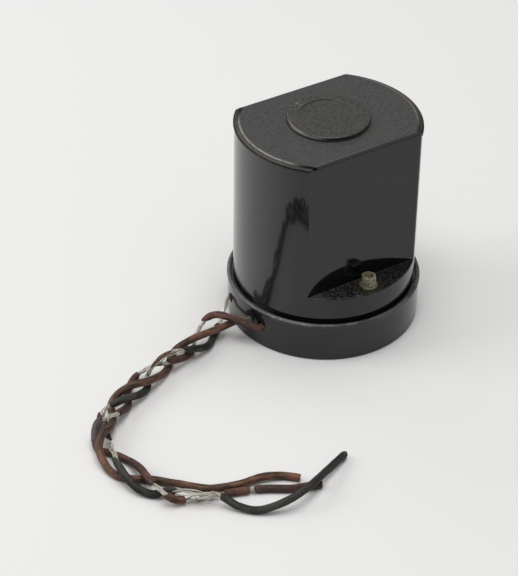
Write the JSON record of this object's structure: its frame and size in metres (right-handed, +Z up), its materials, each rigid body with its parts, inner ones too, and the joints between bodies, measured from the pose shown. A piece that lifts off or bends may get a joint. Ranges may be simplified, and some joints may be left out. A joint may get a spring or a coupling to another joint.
{
  "type": "bench demagnetizer",
  "caption": "Upright bench demagnetizer: a flat-sided moulded case with a raised work disc, held by nuts on two ledges, over a mains coil, with three twisted loose cores.",
  "frame": {"origin": "centre of the round base, on the surface that it stands on", "axes": "+Z up; X along the two flats of the housing; -Y is the front ledge; the three cores leave on the -X side"},
  "size_m": [0.1936, 0.1621, 0.1041],
  "materials": {
    "bakelite": "glossy sides, dull dusty top and ledges",
    "tarnished_brass": "tarnished",
    "core_iron": "varnished sheet",
    "plated_steel": "zinc plated",
    "moulded_brown": "matt",
    "copper_wire": "enamelled wire",
    "cotton_tape": "varnished cotton",
    "pressboard": "matt",
    "lead_sleeving": "varnished sleeving",
    "terminal_brass": "dull",
    "brown_rubber": "perished",
    "red_rubber": "perished",
    "grey_rubber": "perished"
  },
  "bodies": {
    "case": {"base": "bakelite", "housing": "bakelite", "front_case_screw": "tarnished_brass", "rear_case_screw": "tarnished_brass", "core_laminations": "core_iron", "core_bolts": "plated_steel", "core_nuts": "plated_steel", "core_washers": "plated_steel", "front_core_clamp": "plated_steel", "rear_core_clamp": "plated_steel", "clamp_screws": "plated_steel", "bobbin": "moulded_brown", "winding": "copper_wire", "winding_wrap": "cotton_tape", "pole_pad": "pressboard", "coil_leads": "lead_sleeving", "terminal_block": "moulded_brown", "terminal_tubes": "terminal_brass", "terminal_screws": "terminal_brass", "block_screws": "plated_steel", "brown_core": "brown_rubber", "red_core": "red_rubber", "grey_core": "grey_rubber"},
    "front_washer": {"front_washer": "tarnished_brass"},
    "front_nut": {"front_nut": "tarnished_brass"},
    "rear_washer": {"rear_washer": "tarnished_brass"},
    "rear_nut": {"rear_nut": "tarnished_brass"}
  },
  "joints": [
    {"name": "front_nut_turn", "type": "hinge", "parent": "case", "child": "front_washer", "pos_m": [0, -0.0364, 0.0335], "axis": [0, 0, 1], "range_deg": [0, 2160]},
    {"name": "front_nut_rise", "type": "slide", "parent": "front_washer", "child": "front_nut", "axis": [0, 0, 1], "range_m": [0, 0.00396]},
    {"name": "rear_nut_turn", "type": "hinge", "parent": "case", "child": "rear_washer", "pos_m": [0, 0.0364, 0.0335], "axis": [0, 0, 1], "range_deg": [0, 2160]},
    {"name": "rear_nut_rise", "type": "slide", "parent": "rear_washer", "child": "rear_nut", "axis": [0, 0, 1], "range_m": [0, 0.00396]}
  ],
  "couplings": [
    {"joint": "front_nut_turn", "follows": "front_nut_rise", "rad_per_m": 9520},
    {"joint": "rear_nut_turn", "follows": "rear_nut_rise", "rad_per_m": 9520}
  ]
}
